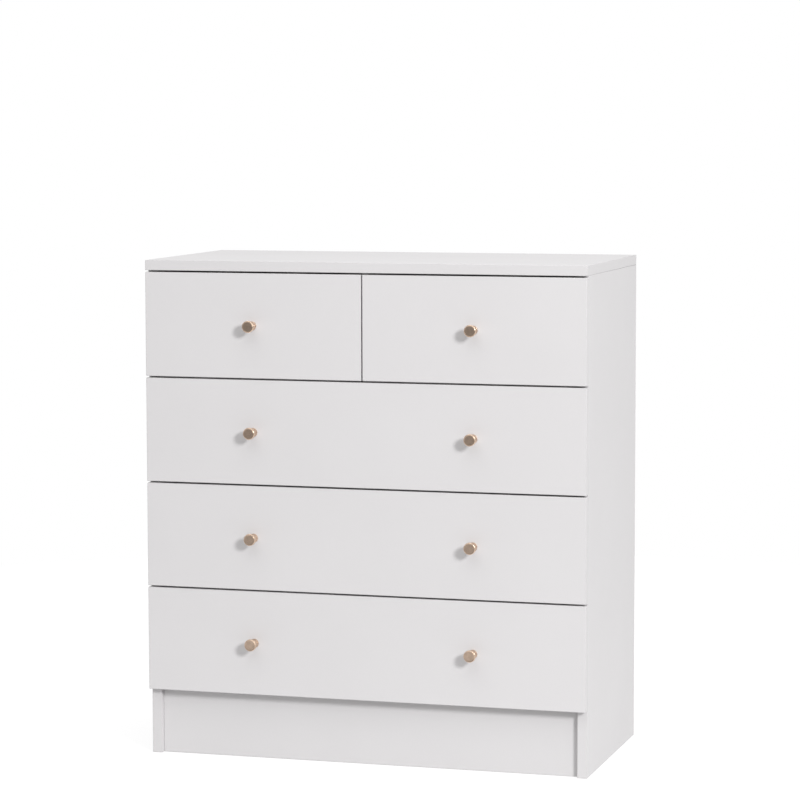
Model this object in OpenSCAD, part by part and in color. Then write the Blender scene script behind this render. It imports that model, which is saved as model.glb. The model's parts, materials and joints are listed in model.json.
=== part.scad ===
// Chest of drawers: two half-width drawers over three full-width ones, on roller runners.
// The front looks along -Y. The origin is on the floor, at the middle of the overall box.

/* [Overall size] */
// Width over the side panels
body_w = 800; // [700:10:1000]
// Height from the floor to the top face
body_h = 886; // [870:2:1000]
// Depth from the drawer fronts to the back edges
body_d = 400; // [396:2:420]

/* [Boards] */
// Thickness of the top panel and the side panels
panel_t = 18; // [18:1:22]
// Thickness of the fronts, shelf, divider, kickboard and rails
board_t = 15; // [15:1:16]
// Thickness of the drawer sides and drawer backs
box_t = 12; // [12:1:15]
// Thickness of the hardboard backs and drawer bottoms
sheet_t = 3; // [2.5:0.1:3.5]

/* [Fronts and plinth] */
// Gap above each drawer front
front_gap = 3; // [3:0.5:5]
// Gap between the two half-width fronts
pair_gap = 2.5; // [2:0.5:4]
// Height of the lowest front's bottom edge
plinth_h = 118; // [110:1:130]
// How far the kickboard stands behind the side panels' front edges
kick_inset = 10; // [6:1:20]

/* [Drawer boxes] */
// Height of the drawer sides
box_h = 120; // [90:5:125]
// Length of the drawer sides, front to back
box_len = 345; // [340:1:346]
// How far the box bottom stands above the front's bottom edge
box_rise = 18; // [18:1:22]

/* [Knobs] */
// Diameter of a knob's flat head
knob_d = 21; // [18:1:28]
// How far a knob stands out of the front
knob_out = 25; // [22:1:30]

/* [Runners] */
// Side clearance between a drawer box and the cabinet
slide_gap = 12.5; // [12.5:0.1:13]
// How far a drawer comes out
travel = 265; // [200:5:265]
// Diameter of a roller
roller_d = 22; // [20:1:22]

/* [Hidden] */
$fn = 48;
DRAWERS = [1 : 5];
DRAWER_PARTS = ["front", "left_side", "right_side", "back", "bottom", "knobs", "runners", "rollers"];
CABINET = [
    "top_panel", "left_side_panel", "right_side_panel", "centre_divider", "shelf", "kickboard",
    "rear_plinth_rail", "upper_rear_rail", "upper_back_panel", "lower_back_panel", "back_joiner",
    "cabinet_runners", "cam_locks", "cam_bolts", "cabinet_screws"
];

WHITE = "#EDECEA";
BOX_WHITE = "#E6E4E0";
HARDBOARD = "#DCD8D0";
BRASS = "#B8935A";
STEEL = "#A9ABAE";
COATED_STEEL = "#E2E2DF";
NYLON = "#F2F0E8";

// Clearances
groove_play = 0.2;
cam_play = 0.1;
bolt_play = 0.05;
hole_end_play = 0.3;
roll_play = 0.3;
axle_play = 0.05;
// How far a cut runs past the face it opens, and how far joined solids reach into each other
past = 1;
weld = 0.1;

// Depth positions, front to back
front_y = knob_out / 2 - body_d / 2;
front_back_y = front_y + board_t;
front_clear = 0.5;
carcass_y = front_back_y + front_clear;
back_y = front_y + body_d;
back_inset = 10;
sheet_y = back_y - back_inset - sheet_t;
rail_y = sheet_y - groove_play - board_t;
box_back_y = front_back_y + box_len;

// Widths and heights
side_x = body_w / 2 - panel_t;
top_z = body_h - panel_t;
front_h = (top_z - plinth_h - 4 * front_gap) / 4;
shelf_z = top_z - front_gap * 1.5 - front_h - board_t / 2;
kick_h = plinth_h - front_gap;
kick_y = carcass_y + kick_inset;
plinth_rail_h = 90;
rear_rail_h = 80;
sheet_low_z = 40;
joiner_z = 456;
joiner_half_h = 9;
joiner_web = 0.6;
joiner_play = 0.1;

// Grooves that hold the hardboard
groove_depth = 6;
sheet_edge = groove_depth - 0.5;
bottom_rise = 10;

// Cam fittings: a lock in the end of one board pulls a bolt that stands in the other's face
cam_r = 7.5;
cam_depth = 12.5;
cam_from_end = 24;
bolt_hole_r = 4;
bolt_thread_r = 2.85;
bolt_thread_len = 10;
bolt_shank_r = 2.2;
bolt_head_r = 3.3;
bolt_head_len = 3;
bolt_collar_len = 1.5;
cam_slot_half = 3.6;
cam_cross_half = 4.5;
cam_cross_w = 1.4;
cam_cross_depth = 2;

// Where the cam joints stand
top_joint_ys = [-120, 140];
shelf_joint_ys = [-110, 130];
kick_joint_inset = 28;
plinth_rail_joint_inset = 25;
rear_rail_joint_inset = 22;

// Roller runners, measured inward from the cabinet wall and up from the drawer box's bottom edge
steel_t = 1.2;
runner_y = carcass_y + 1;
runner_len = 350;
runner_end_y = runner_y + runner_len;
channel_out = slide_gap - 2;
channel_z = -6;
roller_r = roller_d / 2;
rear_roller_z = channel_z + steel_t + roller_r + roll_play;
channel_top_z = rear_roller_z + roller_r + 0.9;
track_z = channel_top_z + 5.6;
front_roller_z = track_z - roll_play - roller_r;
runner_ear = 28;
front_roller_y = runner_y + 13;
rear_roller_y = box_back_y - 12.5;
drawer_runner_y = front_back_y + 2;
drawer_runner_end_y = box_back_y + 2.5;
drawer_web = slide_gap - steel_t;
support_w = 10;
axle_r = 2.5;
rivet_r = 4;
rivet_h = 0.5;
stop_y = rear_roller_y - travel - roller_r + 1;
stop_h = 5.8;
screw_hole_ys = [for (dy = [40, 72, 280, 312]) runner_y + dy];
screw_z = rear_roller_z + 7.9;
screw_r = 1.6;
screw_head_r = 3.3;
screw_head_h = 1.1;
runner_hole_r = screw_r + 0.5;
screw_len = 12;
divider_screw_ys = [-120, 100];
divider_screw_r = 2.5;
divider_screw_len = 45;

// Knob and its machine screw
knob_r = knob_d / 2;
knob_base_r = 8;
knob_neck_r = 4.6;
knob_head_h = 6;
knob_bore = 10.5;
knob_screw_r = 1.9;
knob_hole_r = 2.2;
knob_screw_head_r = 4;
knob_screw_head_h = 2.4;

// Wall fixing holes
wall_hole_r = 2.5;
wall_hole_x = 200;

// Positions of each drawer, 1 and 2 in the top row and 3 to 5 below
function row(d) = max(0, d - 2);
function front_x0(d) = d == 2 ? pair_gap / 2 : -body_w / 2;
function front_x1(d) = d == 1 ? -pair_gap / 2 : body_w / 2;
function front_z(d) = top_z - (row(d) + 1) * (front_gap + front_h);
function wall_x0(d) = d == 2 ? board_t / 2 : -side_x;
function wall_x1(d) = d == 1 ? -board_t / 2 : side_x;
function box_x0(d) = wall_x0(d) + slide_gap;
function box_x1(d) = wall_x1(d) - slide_gap;
function box_z(d) = front_z(d) + box_rise;
function knob_z(d) = front_z(d) + front_h / 2;
function knob_xs(d) = d < 3 ? [(front_x0(d) + front_x1(d)) / 2] : [-body_w / 4, body_w / 4];

// A block between two corners
module slab(low, high) {
    translate(low) cube(high - low);
}

// A rod along +X
module rod_x(r, x0, x1) {
    translate([x0, 0, 0]) rotate([0, 90, 0]) cylinder(r = r, h = x1 - x0);
}

// The children and their mirror image in the chest's middle plane
module both_sides() {
    children();
    mirror([1, 0, 0]) children();
}

// Places the children at a drawer's left (-1) or right (1) cabinet wall:
// +X points into the bay, and z is measured from the drawer box's bottom edge
module at_wall(d, hand) {
    translate([hand < 0 ? wall_x0(d) : wall_x1(d), 0, box_z(d)])
        mirror([hand < 0 ? 0 : 1, 0, 0]) children();
}

// Cam joints: +X runs into the board that holds the lock, and the lock opens towards -Z
module shelf_joints() {
    for (y = shelf_joint_ys)
        both_sides() translate([-side_x, y, shelf_z + board_t / 2]) children();
}

module top_joints() {
    for (y = top_joint_ys)
        both_sides() translate([side_x + panel_t / 2, y, top_z]) rotate([0, 90, 0]) children();
}

module divider_joints() {
    for (y = top_joint_ys)
        translate([0, y, top_z]) rotate([0, 90, 0]) children();
}

module kick_joints() {
    for (z = [kick_joint_inset, kick_h - kick_joint_inset])
        both_sides() translate([-side_x, kick_y + board_t / 2, z]) rotate([90, 0, 0]) children();
}

module rail_joints(zs) {
    for (z = zs)
        both_sides() translate([-side_x, rail_y + board_t / 2, z]) rotate([-90, 0, 0]) children();
}

module plinth_rail_joints() {
    rail_joints([plinth_rail_joint_inset, plinth_rail_h - plinth_rail_joint_inset]) children();
}

module rear_rail_joints() {
    rail_joints([top_z - rear_rail_h + rear_rail_joint_inset, top_z - rear_rail_joint_inset]) children();
}

// The lock's pocket and the bolt's bore, cut from a board of thickness t
module cam_pocket(t) {
    translate([cam_from_end, 0, -t / 2 - past]) cylinder(r = cam_r, h = cam_depth + past);
    rod_x(bolt_hole_r, -past, cam_from_end);
}

// The threaded hole in the other board's face
module bolt_hole() {
    rod_x(bolt_thread_r, -bolt_thread_len - hole_end_play, past);
}

// The lock: a slotted disc that takes the bolt's head, with a cross recess in its visible face
module cam_lock(t) {
    lock_h = cam_depth - 0.5;
    difference() {
        translate([cam_from_end, 0, -t / 2]) cylinder(r = cam_r - cam_play, h = lock_h);
        slab(
            [cam_from_end - cam_r, -cam_slot_half, -cam_slot_half],
            [cam_from_end + 2, cam_slot_half, cam_slot_half]
        );
        for (a = [0, 90])
            translate([cam_from_end, 0, -t / 2])
                rotate([0, 0, a])
                    slab(
                        [-cam_cross_half, -cam_cross_w / 2, -past],
                        [cam_cross_half, cam_cross_w / 2, cam_cross_depth]
                    );
    }
}

module cam_bolt() {
    head_x = cam_from_end - 1;
    rod_x(bolt_thread_r - bolt_play, -bolt_thread_len, weld);
    rod_x(bolt_hole_r - cam_play, 0, bolt_collar_len);
    rod_x(bolt_shank_r, bolt_collar_len - weld, head_x);
    rod_x(bolt_head_r, head_x - bolt_head_len, head_x);
}

// Holes for the runner screws in a drawer's cabinet walls, and the screws themselves
module at_runner_screws(d, hand) {
    first = hand < 0 ? 0 : 1;
    for (k = [first, first + 2])
        at_wall(d, hand) translate([0, screw_hole_ys[k], screw_z]) children();
}

module runner_screw() {
    rod_x(screw_r, -screw_len, steel_t + weld);
    rod_x(screw_head_r, steel_t, steel_t + screw_head_h);
}

module runner_screw_holes(drawers, hand) {
    for (d = drawers)
        at_runner_screws(d, hand) rod_x(screw_r + bolt_play, -screw_len - hole_end_play, past);
}

// Long screws up through the shelf into the divider, their heads sunk in its underside
module at_divider_screws() {
    for (y = divider_screw_ys)
        translate([0, y, shelf_z]) rotate([0, -90, 0]) children();
}

module divider_screw(play = 0) {
    rod_x(2 * divider_screw_r + play, -play, divider_screw_r + play);
    rod_x(divider_screw_r + play, 0, divider_screw_len + play);
}

// Holes through the upper rear rail and the back panel, for screws into a wall
module wall_holes() {
    for (s = [-1, 1])
        translate([s * wall_hole_x, rail_y - past, top_z - rear_rail_h / 2])
            rotate([-90, 0, 0]) cylinder(r = wall_hole_r, h = back_y - rail_y);
}

// The back panels' groove, through the full height of the side panels
module back_groove(low_z, high_z) {
    deep = side_x + groove_depth;
    slab([-deep, sheet_y - groove_play, low_z], [deep, sheet_y + sheet_t + groove_play, high_z]);
}

module top_panel() {
    color(WHITE)
        difference() {
            slab([-body_w / 2, front_y, top_z], [body_w / 2, back_y, body_h]);
            back_groove(top_z - past, top_z + groove_depth);
            top_joints() bolt_hole();
            divider_joints() bolt_hole();
        }
}

module side_panel(hand) {
    inner = hand * side_x;
    outer = hand * body_w / 2;
    color(WHITE)
        difference() {
            slab([min(inner, outer), carcass_y, 0], [max(inner, outer), back_y, top_z]);
            back_groove(-past, top_z + past);
            top_joints() cam_pocket(panel_t);
            shelf_joints() bolt_hole();
            kick_joints() bolt_hole();
            plinth_rail_joints() bolt_hole();
            rear_rail_joints() bolt_hole();
            runner_screw_holes([hand < 0 ? 1 : 2, 3, 4, 5], hand);
        }
}

module centre_divider() {
    color(WHITE)
        difference() {
            slab([-board_t / 2, carcass_y, shelf_z + board_t], [board_t / 2, rail_y, top_z]);
            divider_joints() cam_pocket(board_t);
            at_divider_screws() divider_screw(bolt_play);
            runner_screw_holes([1], 1);
            runner_screw_holes([2], -1);
        }
}

module shelf() {
    color(WHITE)
        difference() {
            slab([-side_x, carcass_y, shelf_z], [side_x, sheet_y - groove_play, shelf_z + board_t]);
            shelf_joints() cam_pocket(board_t);
            at_divider_screws() divider_screw(bolt_play);
        }
}

module kickboard() {
    color(WHITE)
        difference() {
            slab([-side_x, kick_y, 0], [side_x, kick_y + board_t, kick_h]);
            kick_joints() cam_pocket(board_t);
        }
}

module rear_plinth_rail() {
    color(WHITE)
        difference() {
            slab([-side_x, rail_y, 0], [side_x, rail_y + board_t, plinth_rail_h]);
            plinth_rail_joints() cam_pocket(board_t);
        }
}

module upper_rear_rail() {
    color(WHITE)
        difference() {
            slab([-side_x, rail_y, top_z - rear_rail_h], [side_x, rail_y + board_t, top_z]);
            rear_rail_joints() cam_pocket(board_t);
            wall_holes();
        }
}

module back_panel(low_z, high_z) {
    half = side_x + sheet_edge;
    color(HARDBOARD)
        difference() {
            slab([-half, sheet_y, low_z], [half, sheet_y + sheet_t, high_z]);
            wall_holes();
        }
}

module upper_back_panel() {
    back_panel(joiner_z + joiner_web, top_z + sheet_edge);
}

module lower_back_panel() {
    back_panel(sheet_low_z, joiner_z - joiner_web);
}

// H section: both hardboard edges stand in its slots
module back_joiner() {
    lip = 1;
    slot_y0 = sheet_y - joiner_play;
    slot_y1 = sheet_y + sheet_t + joiner_play;
    slot_h = joiner_half_h - joiner_web + past;
    color(WHITE)
        difference() {
            slab(
                [-side_x, slot_y0 - lip, joiner_z - joiner_half_h],
                [side_x, slot_y1 + lip, joiner_z + joiner_half_h]
            );
            for (z = [joiner_z + joiner_web, joiner_z - joiner_half_h - past])
                slab([-side_x - past, slot_y0, z], [side_x + past, slot_y1, z + slot_h]);
        }
}

// A channel with an ear and axle for the front roller, a stop for the rear one, and four screw holes
module cabinet_runner() {
    difference() {
        union() {
            slab([0, runner_y, channel_z], [steel_t, runner_y + runner_ear, track_z]);
            slab([0, runner_y, channel_z], [steel_t, runner_end_y, channel_top_z + steel_t]);
            slab([0, runner_y, channel_z], [channel_out, runner_end_y, channel_z + steel_t]);
            slab(
                [0, runner_y + runner_ear, channel_top_z],
                [channel_out, runner_end_y, channel_top_z + steel_t]
            );
            slab([0, stop_y - steel_t, channel_z], [channel_out, stop_y, channel_z + steel_t + stop_h]);
            translate([0, front_roller_y, front_roller_z]) {
                rod_x(rivet_r, steel_t - weld, steel_t + rivet_h);
                rod_x(axle_r, steel_t - weld, channel_out - 0.5);
                rod_x(rivet_r + 0.3, channel_out - 1.2, channel_out - 0.3);
            }
        }
        for (y = screw_hole_ys)
            translate([0, y, screw_z]) rod_x(runner_hole_r, -past, steel_t + past);
    }
}

module cabinet_runners() {
    color(COATED_STEEL)
        for (d = DRAWERS)
            for (hand = [-1, 1])
                at_wall(d, hand) cabinet_runner();
}

module cam_locks() {
    color(STEEL) {
        top_joints() cam_lock(panel_t);
        shelf_joints() cam_lock(board_t);
        divider_joints() cam_lock(board_t);
        kick_joints() cam_lock(board_t);
        plinth_rail_joints() cam_lock(board_t);
        rear_rail_joints() cam_lock(board_t);
    }
}

module cam_bolts() {
    color(STEEL) {
        top_joints() cam_bolt();
        shelf_joints() cam_bolt();
        divider_joints() cam_bolt();
        kick_joints() cam_bolt();
        plinth_rail_joints() cam_bolt();
        rear_rail_joints() cam_bolt();
    }
}

module cabinet_screws() {
    color(STEEL) {
        for (d = DRAWERS)
            for (hand = [-1, 1])
                at_runner_screws(d, hand) runner_screw();
        at_divider_screws() divider_screw();
    }
}

// A nylon roller on an axle along +X, between x0 and x1, with a sunk ring in its inner face
module roller(x0, x1) {
    edge = 0.7;
    sink = 1.2;
    translate([x0, 0, 0])
        rotate([0, 90, 0])
            rotate_extrude()
                polygon([
                    [axle_r + axle_play, 0],
                    [roller_r - edge, 0],
                    [roller_r, edge],
                    [roller_r, x1 - x0 - edge],
                    [roller_r - edge, x1 - x0],
                    [roller_r - 2, x1 - x0],
                    [roller_r - 2.6, x1 - x0 - sink],
                    [rivet_r + 1.6, x1 - x0 - sink],
                    [rivet_r + 1, x1 - x0],
                    [axle_r + axle_play, x1 - x0]
                ]);
}

module cabinet_rollers(d) {
    color(NYLON)
        for (hand = [-1, 1])
            at_wall(d, hand)
                translate([0, front_roller_y, front_roller_z]) roller(1.9, channel_out - 1.4);
}

module drawer_front(d) {
    groove_x0 = box_x0(d) + box_t - groove_depth;
    groove_x1 = box_x1(d) - box_t + groove_depth;
    groove_z = box_z(d) + bottom_rise - groove_play;
    color(WHITE)
        difference() {
            slab([front_x0(d), front_y, front_z(d)], [front_x1(d), front_back_y, front_z(d) + front_h]);
            slab(
                [groove_x0, front_back_y - groove_depth, groove_z],
                [groove_x1, front_back_y + past, groove_z + sheet_t + 2 * groove_play]
            );
            for (x = knob_xs(d))
                translate([x, front_y - past, knob_z(d)])
                    rotate([-90, 0, 0]) cylinder(r = knob_hole_r, h = board_t + 2 * past);
        }
}

// Drawn at the left wall of its bay and mirrored for the right
module drawer_side(d, hand) {
    color(BOX_WHITE)
        at_wall(d, hand)
            difference() {
                slab([slide_gap, front_back_y, 0], [slide_gap + box_t, box_back_y, box_h]);
                slab(
                    [slide_gap + box_t - groove_depth, front_back_y - past, bottom_rise - groove_play],
                    [slide_gap + box_t + past, box_back_y + past, bottom_rise + sheet_t + groove_play]
                );
            }
}

module drawer_back(d) {
    low_z = box_z(d) + bottom_rise + sheet_t + groove_play;
    color(BOX_WHITE)
        slab(
            [box_x0(d) + box_t, box_back_y - box_t, low_z],
            [box_x1(d) - box_t, box_back_y, box_z(d) + box_h]
        );
}

module drawer_bottom(d) {
    edge = box_t - sheet_edge;
    low_z = box_z(d) + bottom_rise;
    color(HARDBOARD)
        slab(
            [box_x0(d) + edge, front_back_y - sheet_edge, low_z],
            [box_x1(d) - edge, box_back_y, low_z + sheet_t]
        );
}

// A turned knob: foot, waisted neck and a flat-faced head with a bevelled rim
module knob() {
    foot_h = 2;
    head_z = knob_out - knob_head_h;
    neck = [
        for (k = [0 : 10])
            let (t = k / 10)
                [
                    knob_neck_r + (knob_base_r - 1 - knob_neck_r) * pow(max(0, 1 - t * 2.4), 2)
                        + (knob_r - 1 - knob_neck_r) * pow(max(0, (t - 0.25) / 0.75), 2),
                    foot_h + (head_z - foot_h) * t
                ]
    ];
    profile = concat(
        [[0, knob_bore], [knob_screw_r + bolt_play, knob_bore], [knob_screw_r + bolt_play, 0]],
        [[knob_base_r - 0.4, 0], [knob_base_r, 0.4], [knob_base_r, foot_h - 0.4]],
        neck,
        [[knob_r - 0.2, head_z + 0.6], [knob_r, head_z + 1.2], [knob_r, knob_out - 1.2]],
        [[knob_r - 0.3, knob_out - 0.5], [knob_r - 0.9, knob_out], [0, knob_out]]
    );
    rotate_extrude() polygon(profile);
}

module knob_screw() {
    translate([0, 0, -board_t]) cylinder(r = knob_screw_r, h = board_t + knob_bore - 1);
    translate([0, 0, -board_t - knob_screw_head_h]) cylinder(r = knob_screw_head_r, h = knob_screw_head_h);
}

module drawer_knobs(d) {
    color(BRASS)
        for (x = knob_xs(d))
            translate([x, front_y, knob_z(d)])
                rotate([90, 0, 0]) {
                    knob();
                    knob_screw();
                }
}

// An angle under the drawer side, a track above the front roller, and the rear roller's axle
module drawer_runner() {
    slab([drawer_web, drawer_runner_y, -steel_t], [slide_gap, drawer_runner_end_y, track_z + steel_t]);
    slab([drawer_web, drawer_runner_y, -steel_t], [slide_gap + support_w, drawer_runner_end_y, 0]);
    slab([2, drawer_runner_y, track_z], [slide_gap, drawer_runner_end_y, track_z + steel_t]);
    translate([0, rear_roller_y, rear_roller_z]) {
        rod_x(rivet_r, 1.7, 2.6);
        rod_x(axle_r, 2.5, drawer_web + weld);
        rod_x(rivet_r, drawer_web - 0.9, drawer_web + weld);
    }
}

module drawer_runners(d) {
    color(COATED_STEEL)
        for (hand = [-1, 1])
            at_wall(d, hand) drawer_runner();
}

module drawer_rollers(d) {
    color(NYLON)
        for (hand = [-1, 1])
            at_wall(d, hand)
                translate([0, rear_roller_y, rear_roller_z]) roller(2.8, drawer_web - 1.1);
}

top_panel();
side_panel(-1);  // left_side_panel
side_panel(1);  // right_side_panel
centre_divider();
shelf();
kickboard();
rear_plinth_rail();
upper_rear_rail();
upper_back_panel();
lower_back_panel();
back_joiner();
cabinet_runners();
cam_locks();
cam_bolts();
cabinet_screws();
for (d = DRAWERS) {
    name = str("drawer_", d);
    cabinet_rollers(d);
    drawer_front(d);
    drawer_side(d, -1);
    drawer_side(d, 1);
    drawer_back(d);
    drawer_bottom(d);
    drawer_knobs(d);
    drawer_runners(d);
    drawer_rollers(d);
}
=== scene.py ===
import json
import math

import bmesh
import bpy
from mathutils import Matrix, Vector

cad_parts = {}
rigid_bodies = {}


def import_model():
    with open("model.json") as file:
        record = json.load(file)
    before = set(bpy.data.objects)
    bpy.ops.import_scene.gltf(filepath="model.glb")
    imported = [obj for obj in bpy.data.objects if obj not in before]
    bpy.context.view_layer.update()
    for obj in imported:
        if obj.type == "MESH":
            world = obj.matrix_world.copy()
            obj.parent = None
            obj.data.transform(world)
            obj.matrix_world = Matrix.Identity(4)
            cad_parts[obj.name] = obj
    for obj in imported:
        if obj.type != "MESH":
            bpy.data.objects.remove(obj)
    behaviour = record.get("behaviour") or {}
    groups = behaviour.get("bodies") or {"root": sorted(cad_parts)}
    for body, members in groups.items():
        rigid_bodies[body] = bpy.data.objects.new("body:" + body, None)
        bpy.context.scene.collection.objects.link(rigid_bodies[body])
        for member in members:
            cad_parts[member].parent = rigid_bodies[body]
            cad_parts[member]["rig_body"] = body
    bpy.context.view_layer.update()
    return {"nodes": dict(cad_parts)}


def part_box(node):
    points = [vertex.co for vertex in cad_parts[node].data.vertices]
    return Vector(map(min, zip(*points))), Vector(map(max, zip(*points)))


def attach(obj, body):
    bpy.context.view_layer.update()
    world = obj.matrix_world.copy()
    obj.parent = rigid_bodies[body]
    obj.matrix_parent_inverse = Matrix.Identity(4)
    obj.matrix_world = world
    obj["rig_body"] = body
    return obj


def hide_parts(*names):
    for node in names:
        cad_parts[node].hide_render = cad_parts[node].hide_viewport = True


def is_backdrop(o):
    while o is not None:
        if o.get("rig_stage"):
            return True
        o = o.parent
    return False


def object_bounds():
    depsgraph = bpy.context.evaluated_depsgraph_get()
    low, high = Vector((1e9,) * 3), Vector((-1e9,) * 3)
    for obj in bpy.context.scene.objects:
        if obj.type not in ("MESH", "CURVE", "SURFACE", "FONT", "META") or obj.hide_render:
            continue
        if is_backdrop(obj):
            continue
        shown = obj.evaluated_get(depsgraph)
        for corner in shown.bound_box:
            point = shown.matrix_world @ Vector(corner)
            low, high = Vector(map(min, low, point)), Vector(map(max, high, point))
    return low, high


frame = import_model()
mm = 0.001
drawers = range(1, 6)
print("frame loaded")


# shader maths: a wire is a node's output, and sums and products of wires add Math nodes
class Wire:
    def __init__(self, finish, socket):
        self.finish = finish
        self.socket = socket

    def maths(self, operation, other, swapped=False):
        ends = (other, self) if swapped else (self, other)
        return self.finish.node("ShaderNodeMath", {"operation": operation}, {0: ends[0], 1: ends[1]})

    def __add__(self, other):
        return self.maths("ADD", other)

    def __sub__(self, other):
        return self.maths("SUBTRACT", other)

    def __rsub__(self, other):
        return self.maths("SUBTRACT", other, True)

    def __mul__(self, other):
        return self.maths("MULTIPLY", other)

    __radd__ = __add__
    __rmul__ = __mul__


class Finish:
    def __init__(self, tree):
        self.tree = tree

    def node(self, kind, settings=None, inputs=None, output=0):
        made = self.tree.nodes.new(kind)
        for key, value in (settings or {}).items():
            setattr(made, key, value)
        for key, value in (inputs or {}).items():
            self.feed(made.inputs[key], value)
        return Wire(self, made.outputs[output])

    def feed(self, socket, value):
        if isinstance(value, Wire):
            self.tree.links.new(value.socket, socket)
        elif socket.type == "VECTOR":
            socket.default_value = value[:3]
        else:
            socket.default_value = value

    def give(self, name, value):
        self.feed(self.shader.inputs[name], value)

    def place(self, scale=(1, 1, 1)):
        spot = self.node("ShaderNodeTexCoord", output="Object")
        return self.node("ShaderNodeMapping", None, {"Vector": spot, "Scale": scale})

    def axes(self, vector):
        first = self.node("ShaderNodeSeparateXYZ", None, {"Vector": vector})
        return [Wire(self, first.socket.node.outputs[name]) for name in "XYZ"]

    def noise(self, vector, scale, detail=2.0, roughness=0.5):
        sizes = {"Vector": vector, "Scale": scale, "Detail": detail, "Roughness": roughness}
        return self.node("ShaderNodeTexNoise", None, sizes)

    def cells(self, vector, scale, output):
        return self.node("ShaderNodeTexVoronoi", None, {"Vector": vector, "Scale": scale}, output)

    def mark(self, name):
        return self.node("ShaderNodeAttribute", {"attribute_name": name}, output="Fac")

    def remap(self, value, low, high, newLow=0.0, newHigh=1.0):
        spans = {"Value": value, "From Min": low, "From Max": high, "To Min": newLow, "To Max": newHigh}
        return self.node("ShaderNodeMapRange", None, spans)

    def sine(self, value):
        return self.node("ShaderNodeMath", {"operation": "SINE"}, {0: value})

    def positive(self, value):
        return self.node("ShaderNodeMath", {"operation": "MAXIMUM"}, {0: value, 1: 0.0})

    def blendColors(self, factor, first, second):
        return self.node("ShaderNodeMix", {"data_type": "RGBA"}, {0: factor, 6: first, 7: second}, 2)

    def shade(self, color, gain):  # a colour made lighter or darker by a value near 1
        return self.node("ShaderNodeVectorMath", {"operation": "SCALE"}, {0: color, "Scale": gain})

    def bump(self, height, distance, strength=1.0):
        sizes = {"Height": height, "Distance": distance, "Strength": strength}
        return self.node("ShaderNodeBump", None, sizes)


def newFinish(name, **values):
    material = bpy.data.materials.new(name)
    material.use_nodes = True
    finish = Finish(material.node_tree)
    finish.material = material
    finish.shader = material.node_tree.nodes["Principled BSDF"]
    for key, value in values.items():
        finish.give(key.replace("_", " "), value)
    return finish


def rgb(r, g, b):
    return (r, g, b, 1.0)


# foil-covered board, with bare chipboard where a face is cut or drilled
foilLook = {
    "white": rgb(0.645, 0.632, 0.638),
    "boxWhite": rgb(0.62, 0.61, 0.60),
    "seamTone": 0.93,  # the hairline where the edge band meets the face
    "bandTone": 0.985,
    "gloss": 0.40,
    "peel": 0.012 * mm,  # height of the pressed foil's fine texture
    "chipLight": rgb(0.56, 0.42, 0.27),
    "chipDark": rgb(0.27, 0.17, 0.09),
    "chipSize": 3.2 * mm,
    "chipRelief": 0.22 * mm,
    "chipRough": 0.45,  # how much rougher the bare board is
}


def chipboard(finish, look):
    # flakes of several woods, pressed flat
    spot = finish.place((1.0, 1.0, 1.35))
    flake = finish.cells(spot, 1 / look["chipSize"], "Color")
    kindOfWood = finish.node("ShaderNodeSeparateColor", None, {"Color": flake}, "Red")
    depth = finish.cells(spot, 1 / look["chipSize"], "Distance")
    fibre = finish.noise(spot, 1400.0, 3.0)
    tone = finish.remap(kindOfWood * 0.7 + fibre * 0.45, 0.2, 0.95)
    return finish.blendColors(tone, look["chipDark"], look["chipLight"]), depth + fibre * 0.6


def foilFinish(name, look, white):
    finish = newFinish(name, IOR=1.46, Specular_IOR_Level=0.42)
    spot = finish.place()
    raw, seam, band = (finish.mark(mark) for mark in ("raw", "seam", "band"))
    cloudy = finish.noise(spot, 5.5, 3.0, 0.55)
    fine = finish.noise(spot, 260.0, 2.0)
    peel = finish.noise(spot, 1500.0, 2.0, 0.6)
    gain = finish.remap(cloudy, 0.3, 0.7, 0.990, 1.008) * finish.remap(fine, 0.3, 0.7, 0.996, 1.003)
    gain = gain * (1 - seam * (1 - look["seamTone"])) * (1 - band * (1 - look["bandTone"]))
    chips, chipHeight = chipboard(finish, look)
    finish.give("Base Color", finish.blendColors(raw, finish.shade(white, gain), chips))
    smear = finish.noise(finish.place((1.0, 1.0, 2.2)), 26.0, 4.0, 0.6)
    rough = finish.remap(smear, 0.3, 0.7, look["gloss"] - 0.012, look["gloss"] + 0.018)
    finish.give("Roughness", rough + raw * look["chipRough"])
    height = (peel * 0.7 + fine * 0.3) * (1 - raw) * look["peel"] + chipHeight * raw * look["chipRelief"]
    finish.give("Normal", finish.bump(height, 1.0))
    return finish.material


# hardboard: rolled white paint on one side, the press screen's print in brown fibre on the other
sheetLook = {
    "paint": rgb(0.66, 0.65, 0.63),
    "fibreLight": rgb(0.30, 0.185, 0.10),
    "fibreDark": rgb(0.17, 0.095, 0.048),
    "screenPitch": 1.5 * mm,  # the wire screen's print in the raw side
    "printHeight": 0.09 * mm,
    "paintHeight": 0.02 * mm,
}


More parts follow.
